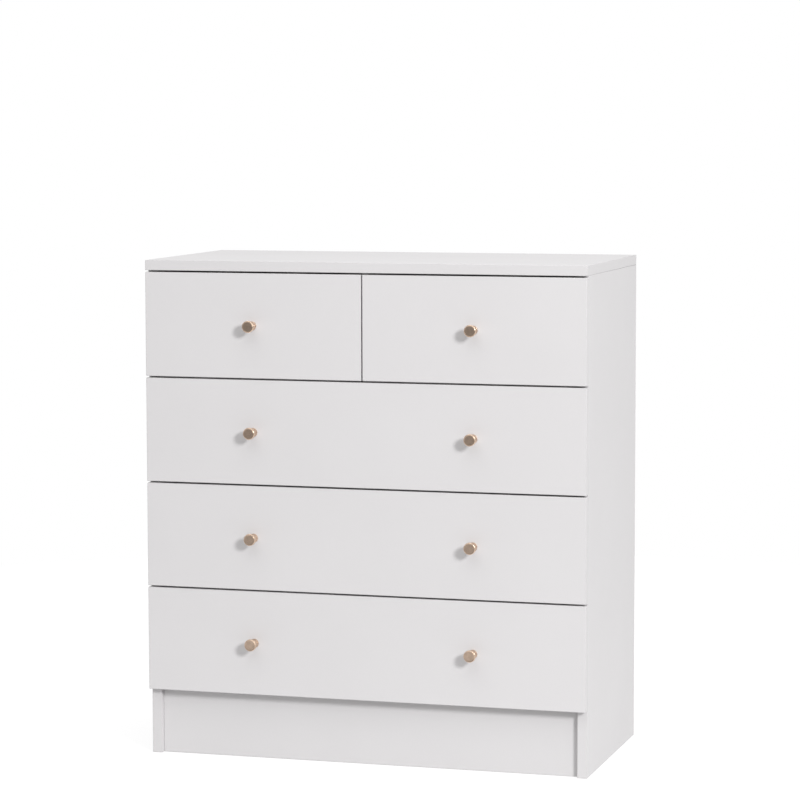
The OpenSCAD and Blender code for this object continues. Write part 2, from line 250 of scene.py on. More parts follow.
def sheetFinish(name, look):
    finish = newFinish(name, IOR=1.45, Specular_IOR_Level=0.35)
    spot = finish.place()
    raw = finish.mark("raw")
    fibre = finish.noise(finish.place((1.0, 2.4, 1.0)), 420.0, 5.0, 0.65)
    blot = finish.noise(spot, 18.0, 3.0)
    tone = finish.remap(fibre * 0.75 + blot * 0.3, 0.3, 0.8)
    brown = finish.blendColors(tone, look["fibreDark"], look["fibreLight"])
    roller = finish.noise(finish.place((0.4, 1.0, 0.4)), 700.0, 3.0)
    paint = finish.shade(look["paint"], finish.remap(blot, 0.3, 0.7, 0.985, 1.01))
    finish.give("Base Color", finish.blendColors(raw, paint, brown))
    finish.give("Roughness", finish.remap(roller, 0.3, 0.7, 0.44, 0.54) + raw * 0.35)
    across, along, up = finish.axes(spot)
    turns = 2 * math.pi / look["screenPitch"]
    screen = finish.sine(across * turns) * finish.sine((up + along) * turns)
    height = roller * (1 - raw) * look["paintHeight"] + (screen * 0.5 + fibre) * raw * look["printHeight"]
    finish.give("Normal", finish.bump(height, 1.0))
    return finish.material


# satin brass plating with fine turning marks and a painted highlight on the head's rim; the knob's UV is (turn,
# distance along the profile)
brassLook = {
    "bright": rgb(0.72, 0.55, 0.43),
    "deep": rgb(0.58, 0.43, 0.33),
    # lighter colour for the head's rim: a painted highlight for the glint that the rim catches
    "rimGlint": rgb(0.86, 0.66, 0.49),
    "ringPitch": 0.16 * mm,
    "ringHeight": 0.02 * mm,
    "satin": 0.27,
}


def brassFinish(name, look):
    finish = newFinish(name, Metallic=1.0)
    uv = finish.node("ShaderNodeUVMap", {"uv_map": "lathe"})
    stretch = (2.0, mm / look["ringPitch"], 1.0)
    marks = finish.node("ShaderNodeMapping", None, {"Vector": uv, "Scale": stretch})
    rings = finish.noise(marks, 1.0, 3.0, 0.7)
    tarnish = finish.noise(finish.place(), 160.0, 4.0, 0.6)
    metal = finish.blendColors(finish.remap(tarnish, 0.35, 0.7), look["bright"], look["deep"])
    # the head's rim rings (the "edge" mark) are blended toward the lighter colour: a painted highlight
    metal = finish.blendColors(finish.mark("edge") * 0.6, metal, look["rimGlint"])
    finish.give("Base Color", finish.shade(metal, finish.remap(rings, 0.2, 0.8, 0.95, 1.04)))
    rough = finish.remap(rings, 0.25, 0.75, look["satin"] - 0.05, look["satin"] + 0.07)
    finish.give("Roughness", rough + tarnish * 0.06)
    finish.give("Normal", finish.bump(rings, look["ringHeight"], 0.6))
    return finish.material


# zinc plate: a faint crystal spangle and fine scratches
zincLook = {
    "bright": rgb(0.66, 0.67, 0.69),
    "dull": rgb(0.50, 0.51, 0.53),
    "rough": 0.30,
    "grain": 700.0,
    "scratchHeight": 0.01 * mm,
}


def metalFinish(name, look):
    finish = newFinish(name, Metallic=1.0)
    spot = finish.place()
    spangle = finish.cells(spot, look["grain"], "Distance")
    cloud = finish.noise(spot, look["grain"] * 0.4, 3.0)
    scratch = finish.noise(finish.place((1.0, 9.0, 9.0)), 900.0, 3.0, 0.7)
    finish.give("Base Color", finish.blendColors(finish.remap(cloud, 0.3, 0.7), look["bright"], look["dull"]))
    rough = finish.remap(spangle, 0.0, 0.7, look["rough"] - 0.05, look["rough"] + 0.08)
    finish.give("Roughness", rough + scratch * 0.08)
    finish.give("Normal", finish.bump(scratch, look["scratchHeight"], 0.5))
    return finish.material


# moulded plastic and powder coat: mottled gloss over a fine peel
coatLook = {  # the peel's size and height in millimetres
    "powder": {"color": rgb(0.70, 0.70, 0.69), "rough": 0.36, "peel": 0.9, "relief": 0.03, "tint": 0.02},
    "nylon": {"color": rgb(0.76, 0.75, 0.71), "rough": 0.42, "peel": 0.5, "relief": 0.01, "tint": 0.03},
    "strip": {"color": rgb(0.71, 0.71, 0.70), "rough": 0.38, "peel": 1.4, "relief": 0.01, "tint": 0.015},
}
nylonGlow = {"Subsurface_Weight": 0.15, "Subsurface_Radius": (0.004, 0.004, 0.003)}


def coatFinish(name, look, **values):
    finish = newFinish(name, IOR=1.5, **values)
    spot = finish.place()
    peel = finish.noise(spot, 1 / (look["peel"] * mm), 3.0, 0.55)
    cloud = finish.noise(spot, 35.0, 3.0)
    gain = finish.remap(cloud, 0.3, 0.7, 1 - look["tint"], 1 + look["tint"] * 0.5)
    gain = gain * finish.remap(peel, 0.2, 0.8, 0.985, 1.01)
    finish.give("Base Color", finish.shade(look["color"], gain))
    finish.give("Roughness", finish.remap(peel, 0.25, 0.75, look["rough"] - 0.05, look["rough"] + 0.06))
    finish.give("Normal", finish.bump(peel, look["relief"] * mm))
    return finish.material


# each of the record's material slots and its finish
slotFinish = {
    "white_board": foilFinish("white foil on board", foilLook, foilLook["white"]),
    "box_board": foilFinish("matt foil on drawer board", foilLook, foilLook["boxWhite"]),
    "hardboard": sheetFinish("painted hardboard", sheetLook),
    "brass": brassFinish("satin brass", brassLook),
    "zinc": metalFinish("zinc plate", zincLook),
    "coated_steel": coatFinish("white powder coat", coatLook["powder"]),
    "nylon": coatFinish("nylon", coatLook["nylon"], **nylonGlow),
    "white_plastic": coatFinish("extruded white plastic", coatLook["strip"]),
}
print("finishes made")


# mesh helpers
def addPiece(name, mesh, body, slotName, *nodes):
    # a piece without a body is a work piece that is used up later
    if isinstance(mesh, bmesh.types.BMesh):
        made = bpy.data.meshes.new(name)
        mesh.to_mesh(made)
        mesh.free()
        mesh = made
    mesh.materials.clear()
    mesh.materials.append(slotFinish[slotName])
    piece = bpy.data.objects.new(name, mesh)
    bpy.context.scene.collection.objects.link(piece)
    if body:
        declare(piece, body, nodes)
    return piece


def declare(piece, body, nodes):
    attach(piece, body)
    if nodes:
        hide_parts(*nodes)


def mergedCopy(node):
    bm = bmesh.new()
    bm.from_mesh(frame["nodes"][node].data)
    bmesh.ops.remove_doubles(bm, verts=bm.verts, dist=1e-6)
    bmesh.ops.dissolve_limit(bm, angle_limit=0.01, verts=bm.verts, edges=bm.edges, delimit={"NORMAL"})
    return bm


def bodyOf(node):
    return frame["nodes"][node]["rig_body"]


def centreOf(box):
    return (box[0] + box[1]) / 2


def lathe(profile, segments, edgeRings=()):
    # turns a list of (radius, height) round Z; the UV holds the turn and the distance along the profile
    profile = [p for k, p in enumerate(profile) if k == 0 or math.dist(p, profile[k - 1]) > 1e-7]
    bm = bmesh.new()
    uv = bm.loops.layers.uv.new("lathe")
    edgeLayer = bm.faces.layers.float.new("edge")
    far = [0.0]
    for below, above in zip(profile, profile[1:]):
        far.append(far[-1] + math.dist(below, above))
    rings = []
    for r, z in profile:
        count = 1 if r < 1e-7 else segments  # one point closes the shape on its axis
        r = 0.0 if count == 1 else r
        turns = [2 * math.pi * k / segments for k in range(count)]
        rings.append([bm.verts.new((r * math.cos(a), r * math.sin(a), z)) for a in turns])
    for i in range(len(rings) - 1):
        low, high = rings[i], rings[i + 1]
        for k in range(segments):
            n = (k + 1) % segments
            corners = [(low[k % len(low)], k, i), (low[n % len(low)], k + 1, i)]
            corners += [(high[n % len(high)], k + 1, i + 1), (high[k % len(high)], k, i + 1)]
            kept = []
            for corner in corners:
                if corner[0] not in [c[0] for c in kept]:
                    kept.append(corner)
            if len(kept) < 3:
                continue
            face = bm.faces.new([c[0] for c in kept])
            face.smooth = True
            face[edgeLayer] = 1.0 if i in edgeRings else 0.0
            for loop, corner in zip(face.loops, kept):
                loop[uv].uv = (corner[1] / segments, far[corner[2]] / mm)
    bmesh.ops.recalc_face_normals(bm, faces=bm.faces)
    for edge in bm.edges:
        edge.smooth = edge.calc_face_angle(0.0) < math.radians(38)
    return bm


def carve(piece, cutter):
    # cuts the cutter out of the piece and leaves a plain, clean mesh
    cut = piece.modifiers.new("cut", "BOOLEAN")
    cut.operation = "DIFFERENCE"
    cut.solver = "EXACT"
    cut.use_self = True
    cut.object = cutter
    flatten(piece)
    bpy.data.objects.remove(cutter)
    bm = bmesh.new()
    bm.from_mesh(piece.data)
    bmesh.ops.remove_doubles(bm, verts=bm.verts, dist=2e-6)
    bmesh.ops.dissolve_degenerate(bm, edges=bm.edges, dist=2e-6)
    bm.to_mesh(piece.data)
    bm.free()


def flatten(piece):
    graph = bpy.context.evaluated_depsgraph_get()
    mesh = bpy.data.meshes.new_from_object(piece.evaluated_get(graph))
    piece.modifiers.clear()
    piece.data = mesh


def joined(*parts):
    whole = bmesh.new()
    for part in parts:
        mesh = bpy.data.meshes.new("part")
        part.to_mesh(mesh)
        part.free()
        whole.from_mesh(mesh)
        bpy.data.meshes.remove(mesh)
    return whole


def block(low, high):
    bm = bmesh.new()
    bmesh.ops.create_cube(bm, size=1.0)
    low, high = Vector(low), Vector(high)
    for v in bm.verts:
        v.co = Vector(low[k] + (v.co[k] + 0.5) * (high[k] - low[k]) for k in range(3))
    return bm


# boards: the CAD board with eased edges, and a mark on each face for foil, edge band or bare chipboard
boardLook = {
    "ease": 0.9 * mm,  # radius of the eased edges
    "boxEase": 0.6 * mm,
    "steps": 3,
}


def board(node, name, slotName, ease, rawSides=()):
    low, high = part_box(node)
    bm = mergedCopy(node)

    def planes(vert):
        found = set()
        for k in range(3):
            if abs(vert.co[k] - low[k]) < 1e-5:
                found.add((k, 0))
            if abs(vert.co[k] - high[k]) < 1e-5:
                found.add((k, 1))
        return found

    corners = [
        e for e in bm.edges
        if len(e.link_faces) == 2 and len(planes(e.verts[0]) & planes(e.verts[1])) >= 2
    ]
    bmesh.ops.bevel(
        bm, geom=corners, offset=ease, offset_type="OFFSET", segments=boardLook["steps"],
        profile=0.5, affect="EDGES", clamp_overlap=True, loop_slide=False,
    )
    raw, seam, band = (bm.faces.layers.float.new(mark) for mark in ("raw", "seam", "band"))
    size = high - low
    thin = min(range(3), key=lambda k: size[k])
    for face in bm.faces:
        n = face.normal
        axis = max(range(3), key=lambda k: abs(n[k]))
        middle = face.calc_center_median()
        near = [min(abs(middle[k] - low[k]), abs(middle[k] - high[k])) < ease * 1.8 for k in range(3)]
        wall = high[axis] if n[axis] > 0 else low[axis]
        side = ("+" if n[axis] > 0 else "-") + "XYZ"[axis]
        if abs(n[axis]) < 0.9995:  # a rounded face, of an eased edge or of a bore
            onEdge = sum(near) >= 2
            face.smooth = True
            face[seam] = 1.0 if onEdge else 0.0
            face[raw] = 0.0 if onEdge else 1.0
        elif abs(middle[axis] - wall) > 2e-5 or side in rawSides:
            face[raw] = 1.0
        elif axis != thin:
            face[band] = 1.0
    return addPiece(name, bm, bodyOf(node), slotName, node)


# each board's piece name and its sides without foil
cabinetBoards = {
    "top_panel": ("topPanelBoard", ()),
    "left_side_panel": ("leftSideBoard", ("+Y", "-Z", "+Z")),
    "right_side_panel": ("rightSideBoard", ("+Y", "-Z", "+Z")),
    "centre_divider": ("centreDividerBoard", ("+Y", "-Z", "+Z")),
    "shelf": ("shelfBoard", ("+Y", "-X", "+X")),
    "kickboard": ("kickboardBoard", ("+Z", "-Z", "-X", "+X")),
    "rear_plinth_rail": ("rearPlinthRailBoard", ("-Z", "-X", "+X")),
    "upper_rear_rail": ("upperRearRailBoard", ("+Z", "-X", "+X")),
}
for node, (name, rawSides) in cabinetBoards.items():
    board(node, name, "white_board", boardLook["ease"], rawSides)
drawerSides = {}
for d in drawers:
    own = f"drawer_{d}_"
    boxEase = boardLook["boxEase"]
    board(own + "front", f"drawer{d}Front", "white_board", boardLook["ease"])
    for side in ("left", "right"):
        name = f"drawer{d}{side.title()}Side"
        drawerSides[d, side] = board(own + side + "_side", name, "box_board", boxEase, ("-Z", "-Y", "+Y"))
    board(own + "back", f"drawer{d}Back", "box_board", boxEase, ("-Z", "-X", "+X"))
print("boards made")


# hardboard backs and drawer bottoms
def hardboardSheet(node, name, brownSide):
    bm = mergedCopy(node)
    raw = bm.faces.layers.float.new("raw")
    low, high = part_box(node)
    thin = min(range(3), key=lambda k: high[k] - low[k])
    for face in bm.faces:
        painted = abs(face.normal[thin]) > 0.9 and face.normal[thin] * brownSide < 0
        face[raw] = 0.0 if painted else 1.0
    return addPiece(name, bm, bodyOf(node), "hardboard", node)


hardboardSheet("upper_back_panel", "upperBackSheet", 1)
hardboardSheet("lower_back_panel", "lowerBackSheet", 1)
for d in drawers:
    hardboardSheet(f"drawer_{d}_bottom", f"drawer{d}BottomSheet", -1)


# the moulded strip between the backs, with its sharp edges broken
def joinerStrip(width):
    node = "back_joiner"
    bm = mergedCopy(node)
    for face in bm.faces:
        face.smooth = False
    piece = addPiece("backJoinerStrip", bm, None, "white_plastic")
    bevel = piece.modifiers.new("edges", "BEVEL")
    bevel.width = width
    bevel.segments = 2
    bevel.limit_method = "ANGLE"
    bevel.angle_limit = math.radians(50)
    bevel.harden_normals = False
    flatten(piece)
    declare(piece, bodyOf(node), [node])


joinerStrip(0.25 * mm)
print("sheets and strip made")


# roll-formed runners: a bent strip's cross section drawn out along Y
# u runs from the cabinet wall into the bay, v up from the drawer box's bottom edge
runnerLook = {
    "steel": 1.2 * mm,
    "bend": 1.5 * mm,  # centreline radius of the bends
    "bead": 0.5 * mm,  # stiffening bead pressed into the web
    "beadLevels": [v * mm for v in (10.0, 11.2, 14.4, 15.6)],  # above the channel's underside
    "earLength": 28.0 * mm,
    "earRise": 4.4 * mm,  # the ear beside the roller, above the channel
    "holeRadius": 2.1 * mm,
    "holesFromFront": [v * mm for v in (40, 72, 280, 312)],
    "holeLevel": 20.4 * mm,
    "stopFromFront": 56.0 * mm,
    "stopRise": 5.8 * mm,
    "trackGap": 2.0 * mm,  # from the cabinet wall to the drawer runner's track flange
    "slotsFromFront": [v * mm for v in (26, 90, 186, 282)],
    "slotLevel": 17.0 * mm,
    "support": 10.0 * mm,  # how far the drawer runner reaches under the drawer side
}


def roundedLine(points, radius, steps=4):
    # replaces each inner corner of a polyline by an arc
    line = [Vector(points[0])]
    for a, b, c in zip(points, points[1:], points[2:]):
        a, b, c = Vector(a), Vector(b), Vector(c)
        before, after = (a - b).normalized(), (c - b).normalized()
        half = before.angle(after) / 2
        reach = min(radius / math.tan(half), (a - b).length * 0.49, (c - b).length * 0.49)
        centre = b + (before + after).normalized() * (reach / math.cos(half))
        start, end = b + before * reach - centre, b + after * reach - centre
        swing = start.angle_signed(end)
        for k in range(steps + 1):
            angle = -swing * k / steps
            line.append(centre + Matrix.Rotation(angle, 2) @ start)
    line.append(Vector(points[-1]))
    return line


def strip2d(points, thick, radius):
    # outline of a strip of even thickness along a rounded polyline
    line = roundedLine(points, radius)
    left, right = [], []
    for k, p in enumerate(line):
        ahead = (line[min(k + 1, len(line) - 1)] - line[max(k - 1, 0)]).normalized()
        side = Vector((-ahead.y, ahead.x)) * thick / 2
        left.append(p + side)
        right.append(p - side)
    return left + right[::-1]


def roundedRing(corners, rounding):
    # rounding holds one radius for each corner, 0 for a sharp one
    corners = [Vector(c) for c in corners]
    ring = []
    count = len(corners)
    for k, b in enumerate(corners):
        if rounding[k] <= 0:
            ring.append(b)
            continue
        arc = roundedLine([corners[k - 1], b, corners[(k + 1) % count]], rounding[k], 5)
        ring += arc[1:-1]
    return ring


def prism(outline, ends, spot):
    # a closed outline between two ends; spot gives the place of an outline point at an end
    bm = bmesh.new()
    first, last = [[bm.verts.new(spot(p, end)) for p in outline] for end in ends]
    count = len(outline)
    for k in range(count):
        n = (k + 1) % count
        bm.faces.new((first[k], first[n], last[n], last[k]))
    bm.faces.new(first)
    bm.faces.new(last)
    bmesh.ops.recalc_face_normals(bm, faces=bm.faces)
    return bm


def drawOut(outline, y0, y1):
    # a (u, v) outline drawn out along Y
    return prism(outline, (y0, y1), lambda p, y: (p.x, y, p.y))


def plateAcross(corners, rounding, u0, u1):
    # a flat plate with rounded corners in the (y, v) plane, between u0 and u1
    return prism(roundedRing(corners, rounding), (u0, u1), lambda p, u: (u, p.x, p.y))


def rodAcross(radius, u0, u1, y, v, segments=24):
    bm = bmesh.new()
    bmesh.ops.create_cone(
        bm, cap_ends=True, segments=segments, radius1=radius, radius2=radius, depth=u1 - u0,
    )
    turn = Matrix.Rotation(math.pi / 2, 4, "Y")
    bmesh.ops.transform(bm, matrix=Matrix.Translation(((u0 + u1) / 2, y, v)) @ turn, verts=bm.verts)
    return bm


def softEdges(bm):
    for face in bm.faces:
        face.smooth = True
    for edge in bm.edges:
        edge.smooth = len(edge.link_faces) == 2 and edge.calc_face_angle(0.0) < math.radians(32)
    return bm


def drilledRunner(parts, holes):
    runner = addPiece("runnerShape", softEdges(joined(*parts)), None, "coated_steel")
    carve(runner, addPiece("cutter", joined(*holes), None, "coated_steel"))
    return runner


def cabinetRunnerShape(y0, y1, low, high, out):
    # low and high are the channel's underside and the top of its upper flange
    look = runnerLook
    t = look["steel"]
    c = t / 2
    earEnd, earTop = y0 + look["earLength"], high + look["earRise"]
    rises = zip(look["beadLevels"], (0.0, look["bead"], look["bead"], 0.0))
    line = [(out, low + c), (c, low + c)] + [(c + bead, low + rise) for rise, bead in rises] + [(c, high - c)]
    parts = [
        drawOut(strip2d(line + [(out, high - c)], t, look["bend"]), earEnd, y1),
        drawOut(strip2d(line, t, look["bend"]), y0, earEnd),
    ]
    ear = [(y0, high - c), (earEnd, high - c), (earEnd, earTop), (y0, earTop)]
    parts.append(plateAcross(ear, [0, 0, 5 * mm, 3 * mm], 0.0, t))
    stop = y0 + look["stopFromFront"]
    tabIn, tabOut, tabTop = 0.3 * mm, out - 0.4 * mm, low + t + look["stopRise"]
    tab = [(tabIn, low + c), (tabOut, low + c), (tabOut, tabTop), (tabIn, tabTop)]
    parts.append(drawOut(roundedRing(tab, [0, 0, 2 * mm, 0]), stop - t, stop))
    level = low + look["holeLevel"]
    holes = [rodAcross(look["holeRadius"], -mm, 3 * mm, y0 + far, level) for far in look["holesFromFront"]]
    return drilledRunner(parts, holes)


def drawerRunnerShape(y0, y1, low, high, reach):
    # support flange under the drawer side, web beside it, and the track flange over the roller
    look = runnerLook
    t = look["steel"]
    c = t / 2
    web = reach - c
    line = [(reach + look["support"], low + c), (web, low + c), (web, high - c), (look["trackGap"], high - c)]
    level = low + look["slotLevel"]
    slots = [
        rodAcross(look["holeRadius"], reach - 2 * t, reach + 2 * t, y0 + far, level)
        for far in look["slotsFromFront"]
    ]
    return drilledRunner([drawOut(strip2d(line, t, look["bend"]), y0, y1)], slots)


def atWalls(shape, places):
    # places is a list of (wall x, hand, z of the box's bottom edge); right-hand copies are mirrored
    whole = bmesh.new()
    for x, hand, z in places:
        one = bmesh.new()
        one.from_mesh(shape.data)
        there = Matrix.Translation((x, 0, z)) @ Matrix.Diagonal((-hand, 1, 1, 1))
        bmesh.ops.transform(one, matrix=there, verts=one.verts)
        if hand > 0:
            bmesh.ops.reverse_faces(one, faces=one.faces)
        whole = joined(whole, one)
    return whole


def solids(node):
    # the box of each separate solid in a CAD node
    bm = mergedCopy(node)
    left = set(bm.verts)
    boxes = []
    while left:
        todo = [left.pop()]
        found = []
        while todo:
            v = todo.pop()
            found.append(v.co.copy())
            for e in v.link_edges:
                other = e.other_vert(v)
                if other in left:
                    left.remove(other)
                    todo.append(other)
        low = Vector(min(p[k] for p in found) for k in range(3))
        high = Vector(max(p[k] for p in found) for k in range(3))
        boxes.append((low, high))
    bm.free()
    return sorted(boxes, key=lambda box: [round(c, 5) for c in box[0]])


def walls(d):
    # the two walls of a drawer's bay, and the level of its box's bottom edge
    low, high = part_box(f"drawer_{d}_runners")
    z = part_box(f"drawer_{d}_left_side")[0].z
    gap = runnerLook["trackGap"]
    return (low.x - gap, -1, z), (high.x + gap, 1, z)


bayWalls = [wall for d in drawers for wall in walls(d)]
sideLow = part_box("drawer_3_left_side")[0]
boxLevel = sideLow.z
channelLow, channelHigh = [
    box for box in solids("cabinet_runners")
    if box[0].z > boxLevel - 8 * mm and box[1].z < boxLevel + 26 * mm
][0]
channelTop = channelHigh.z - boxLevel - runnerLook["earRise"]
cabinetRunner = cabinetRunnerShape(
    channelLow.y, channelHigh.y, channelLow.z - boxLevel, channelTop, channelHigh.x - channelLow.x,
)
runners = atWalls(cabinetRunner, bayWalls)
addPiece("cabinetRunners", runners, "cabinet", "coated_steel", "cabinet_runners")
runnerLow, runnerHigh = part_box("drawer_3_runners")
drawerRunner = drawerRunnerShape(
    runnerLow.y, runnerHigh.y, runnerLow.z - boxLevel, runnerHigh.z - boxLevel, sideLow.x - walls(3)[0][0],
)
for d in drawers:
    runners = atWalls(drawerRunner, walls(d))
    addPiece(f"drawer{d}Runners", runners, f"drawer_{d}", "coated_steel", f"drawer_{d}_runners")
for shape in (cabinetRunner, drawerRunner):
    bpy.data.objects.remove(shape)
print("runners formed")


# Geometry Nodes: one tree puts copies of a turned shape on points, each aimed along the point's own vector
def copiesTree():
    tree = bpy.data.node_groups.new("shapesOnPoints", "GeometryNodeTree")
    tree.interface.new_socket(name="Geometry", in_out="OUTPUT", socket_type="NodeSocketGeometry")
    ids = {}
    for label, kind in (
        ("Points", "Geometry"), ("Shape", "Object"), ("Size", "Float"),
        ("Greatest turn", "Float"), ("Turn seed", "Int"), ("Finish", "Material"),
    ):
        socket = tree.interface.new_socket(name=label, in_out="INPUT", socket_type="NodeSocket" + kind)
        ids[label] = socket.identifier
    new, link = tree.nodes.new, tree.links.new
    start, end = new("NodeGroupInput"), new("NodeGroupOutput")
    shape = new("GeometryNodeObjectInfo")
    aim = new("GeometryNodeInputNamedAttribute")
    aim.data_type = "FLOAT_VECTOR"
    aim.inputs["Name"].default_value = "aim"
    align = new("FunctionNodeAlignRotationToVector")
    align.axis = "Z"
    turn = new("FunctionNodeRandomValue")
    turn.data_type = "FLOAT"
    spin = new("FunctionNodeAxisAngleToRotation")
    spin.inputs["Axis"].default_value = (0, 0, 1)
    both = new("FunctionNodeRotateRotation")
    both.rotation_space = "LOCAL"
    put = new("GeometryNodeInstanceOnPoints")
    real = new("GeometryNodeRealizeInstances")
    paint = new("GeometryNodeSetMaterial")
    link(start.outputs["Shape"], shape.inputs["Object"])
    link(aim.outputs["Attribute"], align.inputs["Vector"])
    link(start.outputs["Greatest turn"], turn.inputs[3])
    link(start.outputs["Turn seed"], turn.inputs["Seed"])
    link(turn.outputs[1], spin.inputs["Angle"])
    link(align.outputs["Rotation"], both.inputs["Rotation"])
    link(spin.outputs["Rotation"], both.inputs["Rotate By"])
    link(start.outputs["Points"], put.inputs["Points"])
    link(shape.outputs["Geometry"], put.inputs["Instance"])
    link(both.outputs["Rotation"], put.inputs["Rotation"])
    link(start.outputs["Size"], put.inputs["Scale"])
    link(put.outputs["Instances"], real.inputs["Geometry"])
    link(real.outputs["Geometry"], paint.inputs["Geometry"])
    link(start.outputs["Finish"], paint.inputs["Material"])
    link(paint.outputs["Geometry"], end.inputs["Geometry"])
    return tree, ids


shapesOnPoints, shapeInputs = copiesTree()
anyTurn = 6.0  # radians that a round piece may be turned by
slotTurn = 3.1  # the same for a crossed slot


def copies(name, shape, spots, body, slotName, turn=0.0, seed=1, nodes=()):
    # spots is a list of (position, direction that the shape's Z axis takes)
    mesh = bpy.data.meshes.new(name)
    mesh.from_pydata([Vector(p) for p, _ in spots], [], [])
    aims = mesh.attributes.new("aim", "FLOAT_VECTOR", "POINT")
    aims.data.foreach_set("vector", [c for _, aim in spots for c in aim])
    piece = addPiece(name, mesh, None, slotName)
    work = piece.modifiers.new("copies", "NODES")
    work.node_group = shapesOnPoints
    values = {"Shape": shape, "Size": 1.0, "Greatest turn": turn, "Turn seed": seed}
    values["Finish"] = slotFinish[slotName]
    for label, value in values.items():
        work[shapeInputs[label]] = value
    flatten(piece)
    declare(piece, body, nodes)


# knobs, each turned round its own axis from the foot at 0 to the face
knobLook = {
    "segments": 96,
    "waist": 4.6 * mm,
    "footRadius": 8.0 * mm,
    "headLong": 6.0 * mm,
    "neckSteps": 24,
    "seed": 10,
    "screwSeed": 20,
}


def knobShape(radius, length):
    foot, waist, steps = knobLook["footRadius"], knobLook["waist"], knobLook["neckSteps"]
    outline = [(0.0, 0.0), (2.0 * mm, 0.0), (foot - 0.5 * mm, 0.0), (foot - 0.12 * mm, 0.12 * mm)]
    outline += [(foot, 0.5 * mm), (foot, 1.4 * mm)]
    outline += [(foot - 0.15 * mm, 1.8 * mm), (foot - 0.55 * mm, 2.0 * mm)]
    neckZ, headZ = 2.15 * mm, length - knobLook["headLong"]
    for k in range(steps + 1):
        t = k / steps
        r = waist + (foot - 1.3 * mm - waist) * max(0.0, 1 - t * 2.4) ** 2
        r += (radius - 1.1 * mm - waist) * max(0.0, (t - 0.25) / 0.75) ** 2
        outline.append((r, neckZ + (headZ - neckZ) * t))
    first = len(outline) - 1
    outline += [(radius - 0.35 * mm, headZ + 0.35 * mm), (radius - 0.08 * mm, headZ + 0.8 * mm)]
    outline += [(radius, headZ + 1.3 * mm), (radius, length - 1.3 * mm)]
    outline += [(radius - 0.12 * mm, length - 0.8 * mm), (radius - 0.5 * mm, length - 0.25 * mm)]
    outline += [(radius - 0.95 * mm, length)]
    outline += [(radius - 1.35 * mm, length), (radius - 1.6 * mm, length - 0.18 * mm)]
    dish = length - 0.2 * mm  # the face is turned a little below its rim
    outline += [(radius - 2.6 * mm, dish)] + [(radius * s, dish) for s in (0.6, 0.45, 0.3, 0.15, 0.05, 0.0)]
    # these rim rings get the mark that the brass finish paints lighter, as a painted highlight
    rim = range(first + 2, first + 7)
    return addPiece("knobShape", lathe(outline, knobLook["segments"], rim), None, "brass")


# screws, in millimetres: a head that rises is a pan head, and one that sinks is flush
screwLook = {
    "knobScrew": {"shank": 1.9, "length": 14.6, "head": 4.0, "rise": 2.3, "sink": 0.0, "cross": 1.1},
    "runnerScrew": {"shank": 1.5, "length": 13.2, "head": 3.3, "rise": 1.1, "sink": 0.0, "cross": 0.9},
    "dividerScrew": {"shank": 2.45, "length": 44.8, "head": 4.95, "rise": 0.0, "sink": 2.5, "cross": 1.3},
    "boxScrew": {"shank": 1.5, "length": 24.0, "head": 3.4, "rise": 0.0, "sink": 1.4, "cross": 0.9},
}
threadPitch = 0.9 * mm


def crossCutter(reach, width, depth, top):
    return joined(
        block((-reach, -width / 2, top - depth), (reach, width / 2, top + mm)),
        block((-width / 2, -reach, top - depth), (width / 2, reach, top + mm)),
    )


def dome(radius, height, base, steps):
    # a quarter round from the rim up to the axis, on a low step
    turns = [math.pi / 2 * k / steps for k in range(steps + 1)]
    return [(radius * math.cos(a), base + height * (0.25 + 0.75 * math.sin(a))) for a in turns]


def screwShape(name):
    # point down, with the head's rim at 0
    look = {key: size * mm for key, size in screwLook[name].items()}
    shank, length, radius, rise = look["shank"], look["length"], look["head"], look["rise"]
    if rise:
        head = [(radius * 0.96, 0.0), (radius, rise * 0.12)] + dome(radius, rise, 0.0, 6)
    else:
        head = [(radius, -look["sink"]), (radius, -0.2 * mm), (radius - 0.2 * mm, 0.0)]
        head += [(radius * 0.7, 0.0), (0.0, 0.0)]
    tip = 2.4 * shank
    outline = [(0.0, -length), (shank * 0.4, -length + shank), (shank, -length + tip)]
    under = head[0][1] - 0.6 * mm
    for k in range(int((under + length - tip) / threadPitch)):
        z = -length + tip + k * threadPitch
        outline += [(shank * 0.78, z + 0.3 * mm), (shank, z + 0.6 * mm)]
    outline += [(shank * 0.8, under + 0.3 * mm), (shank * 0.8, head[0][1])] + head
    shape = addPiece(name + "Shape", lathe(outline, 32), None, "zinc")
    reach = head[-2][0] * 0.6 if head[-2][0] > shank else head[0][0] * 0.6
    slot = crossCutter(reach, look["cross"], rise * 0.7 + 0.6 * mm, rise)
    carve(shape, addPiece("cutter", slot, None, "zinc"))
    return shape


# rivets and nails, in millimetres: flat foot, shank and domed head
pinLook = {
    "cabinetRivet": {"foot": 4.0, "step": 0.5, "shank": 2.5, "shankLong": 7.6, "head": 4.3, "thick": 0.9},
    "drawerRivet": {"foot": 4.0, "step": 0.9, "shank": 2.5, "shankLong": 7.8, "head": 4.0, "thick": 0.9},
    "nail": {"foot": 0.8, "step": 0.2, "shank": 0.8, "shankLong": 11.0, "head": 2.2, "thick": 0.6},
}


def pinShape(name):
    look = {key: size * mm for key, size in pinLook[name].items()}
    foot, step, shank, head = look["foot"], look["step"], look["shank"], look["head"]
    top = step + look["shankLong"]
    outline = [(0.0, 0.0), (foot - 0.12 * mm, 0.0), (foot, 0.12 * mm), (foot, step), (shank, step)]
    outline += [(shank, top), (head * 0.97, top), (head, top + look["thick"] * 0.15)]
    outline += dome(head, look["thick"], top, 5)
    return addPiece(name + "Shape", lathe(outline, 32), None, "zinc")


# the discs that lock the drawer fronts to the sides
camLook = {
    "fromFront": 24.0 * mm,
    "levels": [45.0 * mm, 95.0 * mm],  # above the drawer box's bottom edge
    "radius": 6.0 * mm,
    "depth": 9.0 * mm,  # of the pocket in the drawer side
    "sunk": 0.3 * mm,
    "cross": 1.3 * mm,
    "seed": 60,
}


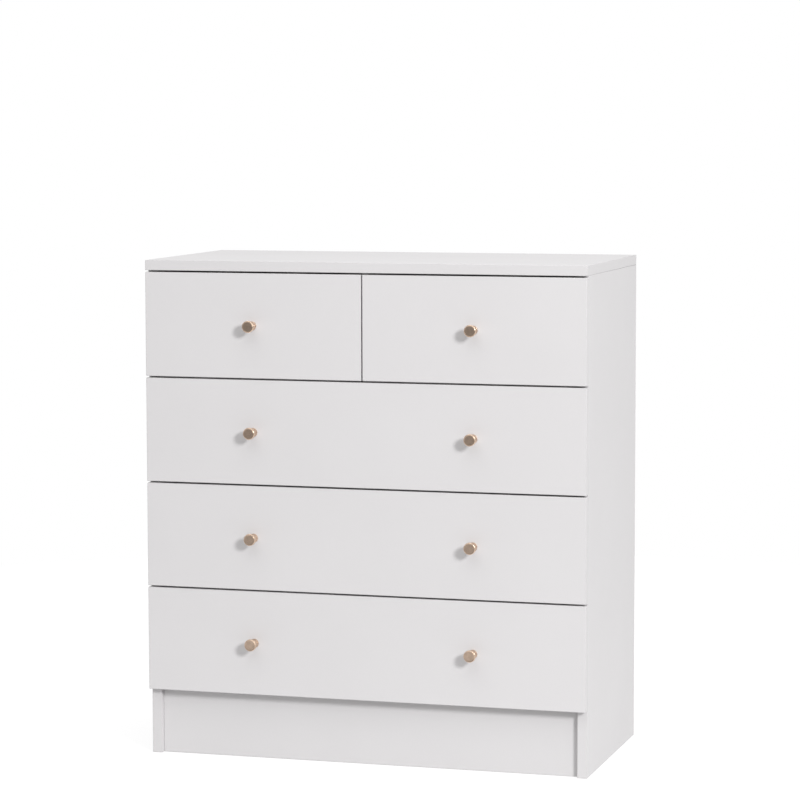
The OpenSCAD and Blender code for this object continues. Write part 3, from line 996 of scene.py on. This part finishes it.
def camShape(radius, depth):
    outline = [(0.0, -depth), (radius - 0.3 * mm, -depth), (radius, -depth + 0.3 * mm), (radius, -0.35 * mm)]
    outline += [(radius - 0.1 * mm, -0.1 * mm), (radius - 0.35 * mm, 0.0), (radius * 0.72, 0.0)]
    outline += [(radius * 0.68, -0.15 * mm), (radius * 0.3, -0.15 * mm), (0.0, -0.15 * mm)]
    shape = addPiece("camShape", lathe(outline, 40), None, "zinc")
    carve(shape, addPiece("cutter", crossCutter(radius * 0.6, camLook["cross"], 1.6 * mm, 0.0), None, "zinc"))
    return shape


# nylon rollers on their rivets
rollerLook = {
    "segments": 64,
    "bore": 2.55 * mm,
    "edge": 0.7 * mm,  # radius of the tread's edges
    "rivetAtCabinetRoller": 0.7 * mm,  # from the roller's wall side to the rivet's foot
    "rivetAtDrawerRoller": 1.1 * mm,
    "cabinetSeed": 30,
    "drawerSeed": 40,
}
cabinetScrewSeeds = {"runner": 51, "divider": 52}


def rollerShape(name, node):
    low, high = solids(node)[0]
    radius, width = (high.z - low.z) / 2, high.x - low.x
    hub, edge = rollerLook["bore"], rollerLook["edge"]
    outline = [(hub, 0.0), (radius - 3.0 * mm, 0.0), (radius - 2.8 * mm, 0.15 * mm)]
    outline += [(radius - edge, 0.15 * mm), (radius - 0.2 * mm, 0.35 * mm), (radius, 0.15 * mm + edge)]
    outline += [(radius, width - edge), (radius - 0.2 * mm, width - 0.2 * mm), (radius - edge, width)]
    outline += [(radius - 2.0 * mm, width), (radius - 2.3 * mm, width - 0.4 * mm)]
    outline += [(radius - 2.5 * mm, width - 1.2 * mm), (hub + 3.2 * mm, width - 1.2 * mm)]
    outline += [(hub + 2.7 * mm, width - 0.3 * mm), (hub + 2.4 * mm, width), (hub, width), (hub, 0.0)]
    shape = lathe(outline, rollerLook["segments"])
    bmesh.ops.remove_doubles(shape, verts=shape.verts, dist=1e-6)
    bmesh.ops.recalc_face_normals(shape, faces=shape.faces)
    return addPiece(name, shape, None, "nylon")


def rollerSpots(node, step, fromWall):
    # a spot and direction at each roller of a pair, along its axle
    left, right = solids(node)
    y, z = centreOf(left).y, centreOf(left).z
    if fromWall:
        return [((left[0].x - step, y, z), (1, 0, 0)), ((right[1].x + step, y, z), (-1, 0, 0))]
    return [((left[1].x + step, y, z), (-1, 0, 0)), ((right[0].x - step, y, z), (1, 0, 0))]


knobLow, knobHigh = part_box("drawer_1_knobs")
knobRadius = (knobHigh.z - knobLow.z) / 2
frontFace, frontBack = [corner.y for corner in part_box("drawer_1_front")]
knob = knobShape(knobRadius, frontFace - knobLow.y)
knobScrew = screwShape("knobScrew")
runnerScrew = screwShape("runnerScrew")
dividerScrew = screwShape("dividerScrew")
boxScrew = screwShape("boxScrew")
cabinetRivet = pinShape("cabinetRivet")
drawerRivet = pinShape("drawerRivet")
nail = pinShape("nail")
drawerCam = camShape(camLook["radius"], camLook["depth"] - 2 * camLook["sunk"])
roller = rollerShape("rollerShape", "cabinet_rollers_3")
tailRoller = rollerShape("tailRollerShape", "drawer_3_rollers")
print("small shapes turned")

for d in drawers:
    low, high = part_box(f"drawer_{d}_knobs")
    z = (low.z + high.z) / 2
    xs = [(low.x + high.x) / 2] if d < 3 else [low.x + knobRadius, high.x - knobRadius]
    body = f"drawer_{d}"
    spots = [((x, frontFace, z), (0, -1, 0)) for x in xs]
    seed = knobLook["seed"] + d
    copies(f"drawer{d}Knobs", knob, spots, body, "brass", anyTurn, seed, [f"drawer_{d}_knobs"])
    spots = [((x, frontBack, z), (0, 1, 0)) for x in xs]
    seed = knobLook["screwSeed"] + d
    copies(f"drawer{d}KnobScrews", knobScrew, spots, body, "zinc", slotTurn, seed)
print("knobs fitted")

rivetSpots = []
for d in drawers:
    node = f"cabinet_rollers_{d}"
    spots = rollerSpots(node, 0.0, True)
    seed = rollerLook["cabinetSeed"] + d
    copies(f"cabinetRollers{d}", roller, spots, bodyOf(node), "nylon", anyTurn, seed, [node])
    rivetSpots += rollerSpots(node, rollerLook["rivetAtCabinetRoller"], True)
    node = f"drawer_{d}_rollers"
    spots = rollerSpots(node, 0.0, True)
    seed = rollerLook["drawerSeed"] + d
    copies(f"drawer{d}Rollers", tailRoller, spots, bodyOf(node), "nylon", anyTurn, seed, [node])
    spots = rollerSpots(node, rollerLook["rivetAtDrawerRoller"], False)
    copies(f"drawer{d}Rivets", drawerRivet, spots, f"drawer_{d}", "zinc")
copies("cabinetRivets", cabinetRivet, rivetSpots, "cabinet", "zinc")
print("rollers fitted")

# the cabinet's screws stand where the CAD screws are: upright ones in the divider, the rest in the runners
runnerSpots, dividerSpots = [], []
for low, high in solids("cabinet_screws"):
    middle = (low + high) / 2
    if high.z - low.z > high.x - low.x:
        dividerSpots.append(((middle.x, middle.y, low.z), (0, 0, -1)))
        continue
    for x, hand, _ in bayWalls:
        if low.x < x < high.x and (high.x - x < x - low.x) == (hand < 0):
            break
    runnerSpots.append(((x - hand * runnerLook["steel"], middle.y, middle.z), (-hand, 0, 0)))
seed = cabinetScrewSeeds["runner"]
copies("runnerScrews", runnerScrew, runnerSpots, "cabinet", "zinc", slotTurn, seed, ["cabinet_screws"])
seed = cabinetScrewSeeds["divider"]
copies("dividerScrews", dividerScrew, dividerSpots, "cabinet", "zinc", slotTurn, seed)

# the drawer boxes' own fittings
boxLook = {
    "backScrewLevels": [35.0 * mm, 90.0 * mm],
    "backScrewSeed": 70,
    "runnerScrewPlaces": [-140.0 * mm, 0.0, 140.0 * mm],
    "runnerScrewSeed": 80,
    "proud": 0.03 * mm,  # how far the back screws' heads stand out
}


def pocketCutter(inner, inward, y, levels):
    # a round pocket for each cam, whose walls are bare chipboard
    start, end = sorted((inner - inward * camLook["depth"], inner + inward * mm))
    cutter = joined(*[rodAcross(camLook["radius"] + 0.2 * mm, start, end, y, level, 40) for level in levels])
    raw = cutter.faces.layers.float.new("raw")
    for face in cutter.faces:
        face[raw] = 1.0
    return addPiece("cutter", cutter, None, "box_board")


for d in drawers:
    body = f"drawer_{d}"
    camSpots, backSpots, underSpots = [], [], []
    backY = centreOf(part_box(body + "_back")).y
    camY = frontBack + camLook["fromFront"]
    for side, inward in (("left", 1), ("right", -1)):
        low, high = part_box(f"{body}_{side}_side")
        inner, outer = (high.x, low.x) if inward > 0 else (low.x, high.x)
        levels = [low.z + level for level in camLook["levels"]]
        carve(drawerSides[d, side], pocketCutter(inner, inward, camY, levels))
        face = inner - inward * camLook["sunk"]
        camSpots += [((face, camY, level), (inward, 0, 0)) for level in levels]
        face = outer - inward * boxLook["proud"]
        backSpots += [((face, backY, low.z + level), (-inward, 0, 0)) for level in boxLook["backScrewLevels"]]
        under = low.z - runnerLook["steel"]
        underSpots += [(((low.x + high.x) / 2, y, under), (0, 0, -1)) for y in boxLook["runnerScrewPlaces"]]
    copies(f"drawer{d}Cams", drawerCam, camSpots, body, "zinc", anyTurn, camLook["seed"] + d)
    seed = boxLook["backScrewSeed"] + d
    copies(f"drawer{d}BackScrews", boxScrew, backSpots, body, "zinc", slotTurn, seed)
    seed = boxLook["runnerScrewSeed"] + d
    copies(f"drawer{d}RunnerScrews", runnerScrew, underSpots, body, "zinc", slotTurn, seed)
print("screws driven")

# three rows of nails hold the backs to the plinth rail, the shelf and the upper rail
nailLook = {"inRow": 7, "fromEnd": 40.0 * mm}
sheetLow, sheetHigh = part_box("lower_back_panel")
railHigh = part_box("rear_plinth_rail")[1]
levels = [(sheetLow.z + railHigh.z) / 2, centreOf(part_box("shelf")).z, centreOf(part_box("upper_rear_rail")).z]
reach = railHigh.x - nailLook["fromEnd"]
nailY = sheetHigh.y - pinLook["nail"]["shankLong"] * mm
nailXs = [reach * (2 * k / (nailLook["inRow"] - 1) - 1) for k in range(nailLook["inRow"])]
copies("backNails", nail, [((x, nailY, z), (0, 1, 0)) for z in levels for x in nailXs], "cabinet", "zinc")

for node in ("cam_locks", "cam_bolts"):
    for slot in frame["nodes"][node].material_slots:
        slot.material = slotFinish["zinc"]
screws = [knobScrew, runnerScrew, dividerScrew, boxScrew]
pins = [cabinetRivet, drawerRivet, nail]
for shape in screws + pins + [knob, drawerCam, roller, tailRoller]:
    bpy.data.objects.remove(shape)
print("fittings done")


# studio: pale floor, soft key from the right, even white surroundings
studio = {
    "floorRadius": 2.4,
    "floorDrop": 0.4 * mm,  # keeps the floor clear of the side panels' feet
    "floorWhite": rgb(0.30, 0.30, 0.30),
    "floorGlow": 0.40,  # light that the floor throws back on the chest
    "floorSeen": 0.72,  # the same, as the camera sees it
    "lightAim": (0.0, -0.19, 0.5),
    "lights": {
        "keyLight": {"watts": 362.0, "size": 1.5, "far": 7.2, "from": (0.66, -0.66, 0.36)},
        "topLight": {"watts": 24.0, "size": 3.0, "far": 3.0, "from": (0.0, -0.5, 0.86)},
    },
    "around": {"base": 0.09, "up": 0.88, "down": 1.15, "back": 0.46, "right": 0.18, "left": 0.12},
}


def makeFloor():
    bm = bmesh.new()
    bmesh.ops.create_circle(bm, cap_ends=True, radius=studio["floorRadius"], segments=128)
    bmesh.ops.translate(bm, vec=(0, 0, -studio["floorDrop"]), verts=bm.verts)
    mesh = bpy.data.meshes.new("floor")
    bm.to_mesh(mesh)
    bm.free()
    finish = newFinish("pale floor", Roughness=0.8, Emission_Strength=1.0)
    grain = finish.noise(finish.place(), 3.0, 4.0)
    finish.give("Base Color", finish.shade(studio["floorWhite"], finish.remap(grain, 0.3, 0.7, 0.99, 1.01)))
    seen = finish.node("ShaderNodeLightPath", output="Is Camera Ray")
    glow = seen * (studio["floorSeen"] - studio["floorGlow"]) + studio["floorGlow"]
    finish.give("Emission Color", finish.shade(rgb(1, 1, 1), glow))
    mesh.materials.append(finish.material)
    floor = bpy.data.objects.new("studioFloor", mesh)
    bpy.context.scene.collection.objects.link(floor)
    floor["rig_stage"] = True


def makeWorld():
    # a white backdrop for the camera, and a soft glow that differs by direction for the chest
    world = bpy.data.worlds.new("studio")
    bpy.context.scene.world = world
    world.use_nodes = True
    sky = Finish(world.node_tree)
    x, y, z = sky.axes(sky.node("ShaderNodeTexCoord", output="Generated"))
    around = studio["around"]
    lobes = {"up": z, "back": y, "right": x, "left": x * -1.0, "down": z * -1.0}
    glow = around["base"]
    for name, wire in lobes.items():
        glow = sky.positive(wire) * around[name] + glow
    seen = sky.node("ShaderNodeLightPath", output="Is Camera Ray")
    back = world.node_tree.nodes["Background"]
    back.inputs["Color"].default_value = rgb(1, 1, 1)
    sky.feed(back.inputs["Strength"], glow * (1 - seen) + seen)


def softLight(name, look):
    light = bpy.data.lights.new(name, "AREA")
    light.shape = "DISK"
    light.size = look["size"]
    light.energy = look["watts"]
    lamp = bpy.data.objects.new(name, light)
    bpy.context.scene.collection.objects.link(lamp)
    away = Vector(look["from"]).normalized()
    lamp.location = Vector(studio["lightAim"]) + away * look["far"]
    lamp.rotation_euler = away.to_track_quat("Z", "Y").to_euler()


# the camera: place in metres, angles in degrees, lens and sensor in millimetres
viewpoint = {
    "stand": (1.5390, -5.1564, 1.1458),
    "yaw": 16.476,
    "pitch": 5.473,
    "roll": 0.119,
    "lens": 135.4,
    "sensor": 36.0,
    "farthest": 100.0,
}


def makeCamera():
    yaw, pitch = math.radians(viewpoint["yaw"]), math.radians(viewpoint["pitch"])
    ahead = Vector((-math.sin(yaw) * math.cos(pitch), math.cos(yaw) * math.cos(pitch), -math.sin(pitch)))
    data = bpy.data.cameras.new("camera")
    data.lens = viewpoint["lens"]
    data.sensor_width = viewpoint["sensor"]
    data.clip_end = viewpoint["farthest"]
    camera = bpy.data.objects.new("camera", data)
    turn = ahead.to_track_quat("-Z", "Y").to_matrix().to_4x4()
    roll = Matrix.Rotation(math.radians(viewpoint["roll"]), 4, ahead)
    camera.matrix_world = Matrix.Translation(viewpoint["stand"]) @ roll @ turn
    bpy.context.scene.collection.objects.link(camera)
    bpy.context.scene.camera = camera


makeFloor()
makeWorld()
for name, look in studio["lights"].items():
    softLight(name, look)
makeCamera()
bpy.context.scene.view_settings.view_transform = "Standard"
print("studio set")

low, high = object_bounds()
